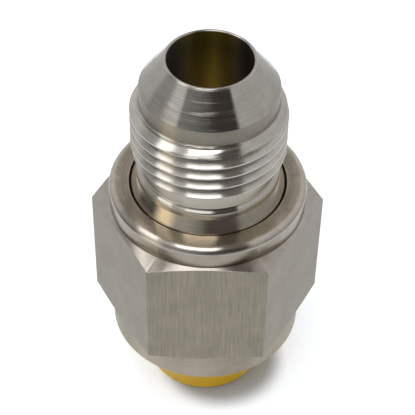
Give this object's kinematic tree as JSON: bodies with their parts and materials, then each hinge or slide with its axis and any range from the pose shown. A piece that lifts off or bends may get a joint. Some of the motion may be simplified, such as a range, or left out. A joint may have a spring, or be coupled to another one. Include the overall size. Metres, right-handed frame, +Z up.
{
  "type": "flared tube fitting with swivel nut",
  "caption": "Straight steel tube fitting: a 37 degree flare end with an external thread, a captive hexagonal swivel nut on the other end, and a push-in plug closing the nut's mouth.",
  "frame": {"origin": "middle of the plug's lower face, which the fitting stands on", "axes": "+Z up along the fitting's axis, from the plug to the flare nose; two of the nut's flats face -Y and +Y"},
  "size_m": [0.0294, 0.0254, 0.052],
  "materials": {
    "turned_steel": "bright, finely turned",
    "bar_steel": "satin, drawn along the bar, turned at both ends",
    "plug_plastic": "translucent yellow, moulded"
  },
  "bodies": {
    "stem": {"flare_stem": "turned_steel"},
    "nut": {"swivel_nut": "bar_steel"},
    "plug": {"dust_plug": "plug_plastic"}
  },
  "joints": [
    {"name": "nut_swivel", "type": "hinge", "parent": "stem", "child": "nut", "pos_m": [0, 0, 0.02], "axis": [0, 0, 1], "continuous": true},
    {"name": "plug_pull", "type": "slide", "parent": "nut", "child": "plug", "axis": [0, 0, -1], "range_m": [0, 0.022]}
  ]
}
